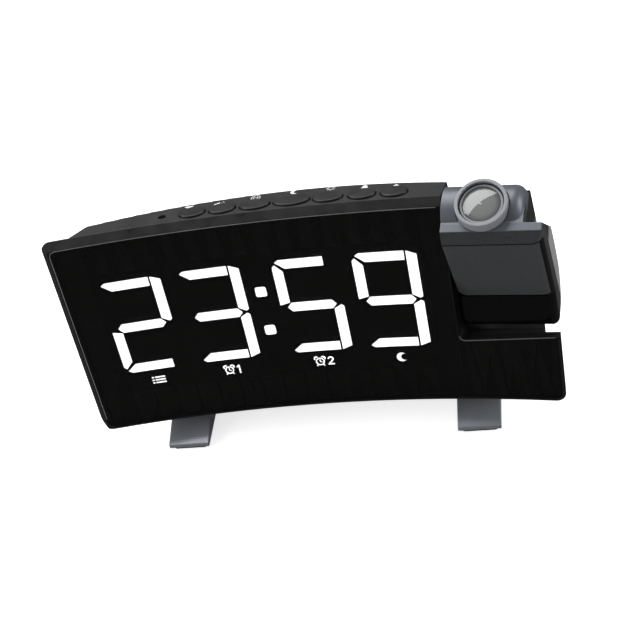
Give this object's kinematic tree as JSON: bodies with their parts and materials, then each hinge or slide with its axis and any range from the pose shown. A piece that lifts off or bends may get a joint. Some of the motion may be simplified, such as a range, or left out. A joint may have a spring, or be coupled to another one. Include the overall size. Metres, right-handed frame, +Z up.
{
  "type": "projection alarm clock",
  "caption": "Low wide alarm clock with a concave smoked face, large lit digits, a row of top keys, wedge feet and a swivelling projector arm with a focus ring.",
  "frame": {"origin": "middle of the bounding box, on the table under the feet", "axes": "+X to the right seen from the front, -Y towards the viewer in front of the face, +Z up"},
  "size_m": [0.189, 0.052, 0.105],
  "materials": {
    "casing_black": "fine matte grain",
    "smoked_acrylic": "polished, smoked",
    "segment_white": "lit diffuser",
    "segment_off": "unlit diffuser",
    "board_green": "solder mask",
    "component_black": "moulded",
    "arm_grey": "fine matte grain",
    "arm_silver": "satin silver paint",
    "arm_light": "satin light grey",
    "arm_band": "semi-gloss",
    "ring_silver": "satin silver paint",
    "clear_lens": "polished",
    "film": "printed film",
    "steel": "plated",
    "heat_sink_alloy": "extruded",
    "magnet_black": "ferrite",
    "paper_cone": "pressed paper",
    "foot_satin": "satin metallic paint",
    "pad_rubber": "moulded",
    "bearing_white": "low-friction plastic"
  },
  "bodies": {
    "clock": {"aerial_gland": "component_black", "board_screws": "steel", "casing_screws": "steel", "cell_holder": "component_black", "colon_dots": "segment_white", "digit_hours": "segment_white", "digit_minutes": "segment_white", "digit_tens_of_hours": "segment_white", "digit_tens_of_minutes": "segment_white", "display_board": "board_green", "display_lamps": "steel", "foot_pads": "pad_rubber", "friction_washer": "bearing_white", "front_frame": "casing_black", "hinge_bush": "bearing_white", "icon_windows": "segment_white", "key_board": "board_green", "key_switches": "component_black", "left_foot": "foot_satin", "light_box": "component_black", "light_sensor": "component_black", "main_board": "board_green", "main_board_chips": "component_black", "power_socket": "component_black", "rear_casing": "casing_black", "reserve_cell": "steel", "right_foot": "foot_satin", "smoked_panel": "smoked_acrylic", "socket_board": "board_green", "speaker_basket": "steel", "speaker_cone": "paper_cone", "speaker_magnet": "magnet_black", "unlit_segments": "segment_off", "usb_socket": "steel"},
    "arm": {"arm_front_shell": "casing_black", "arm_rear_shell": "arm_light", "arm_face_plate": "arm_grey", "arm_trim": "arm_band", "arm_head": "arm_silver", "arm_screws": "steel", "hinge_shaft": "steel", "hinge_clip": "steel", "light_tube": "component_black", "image_slide": "film", "condenser_lens": "clear_lens", "emitter_board": "board_green", "light_emitter": "clear_lens", "heat_sink": "heat_sink_alloy"},
    "focus_ring": {"focus_ring": "ring_silver", "lens_carrier": "component_black", "projector_lens": "clear_lens", "lens_retainer": "ring_silver"},
    "battery_lid": {"battery_lid": "casing_black"},
    "key_down": {"key_down": "casing_black"},
    "key_volume": {"key_volume": "casing_black"},
    "key_zone": {"key_zone": "casing_black"},
    "key_snooze": {"key_snooze": "casing_black"},
    "key_set": {"key_set": "casing_black"},
    "key_alarm": {"key_alarm": "casing_black"},
    "key_up": {"key_up": "casing_black"}
  },
  "joints": [
    {"name": "arm_swivel", "type": "hinge", "parent": "clock", "child": "arm", "pos_m": [0.07722, 0.00317, 0.05306], "axis": [0.989, -0.1446, 0.0307], "range_deg": [-90, 60]},
    {"name": "focus_turn", "type": "hinge", "parent": "arm", "child": "focus_ring", "pos_m": [0.07102, -0.00617, 0.09795], "axis": [-0.0805, -0.3525, 0.9323], "range_deg": [-60, 60]},
    {"name": "battery_lid_turn", "type": "hinge", "parent": "clock", "child": "battery_lid", "pos_m": [0.03045, 0.00026, 0.0135], "axis": [0, 0.2079, 0.9781], "range_deg": [0, 45]},
    {"name": "key_down_press", "type": "slide", "parent": "clock", "child": "key_down", "axis": [0, -0.2079, -0.9781], "range_m": [0, 0.0006], "stiffness_N_per_m": 500, "springref_m": -0.0004},
    {"name": "key_volume_press", "type": "slide", "parent": "clock", "child": "key_volume", "axis": [0, -0.2079, -0.9781], "range_m": [0, 0.0006], "stiffness_N_per_m": 500, "springref_m": -0.0004},
    {"name": "key_zone_press", "type": "slide", "parent": "clock", "child": "key_zone", "axis": [0, -0.2079, -0.9781], "range_m": [0, 0.0006], "stiffness_N_per_m": 500, "springref_m": -0.0004},
    {"name": "key_snooze_press", "type": "slide", "parent": "clock", "child": "key_snooze", "axis": [0, -0.2079, -0.9781], "range_m": [0, 0.0006], "stiffness_N_per_m": 500, "springref_m": -0.0004},
    {"name": "key_set_press", "type": "slide", "parent": "clock", "child": "key_set", "axis": [0, -0.2079, -0.9781], "range_m": [0, 0.0006], "stiffness_N_per_m": 500, "springref_m": -0.0004},
    {"name": "key_alarm_press", "type": "slide", "parent": "clock", "child": "key_alarm", "axis": [0, -0.2079, -0.9781], "range_m": [0, 0.0006], "stiffness_N_per_m": 500, "springref_m": -0.0004},
    {"name": "key_up_press", "type": "slide", "parent": "clock", "child": "key_up", "axis": [0, -0.2079, -0.9781], "range_m": [0, 0.0006], "stiffness_N_per_m": 500, "springref_m": -0.0004}
  ]
}
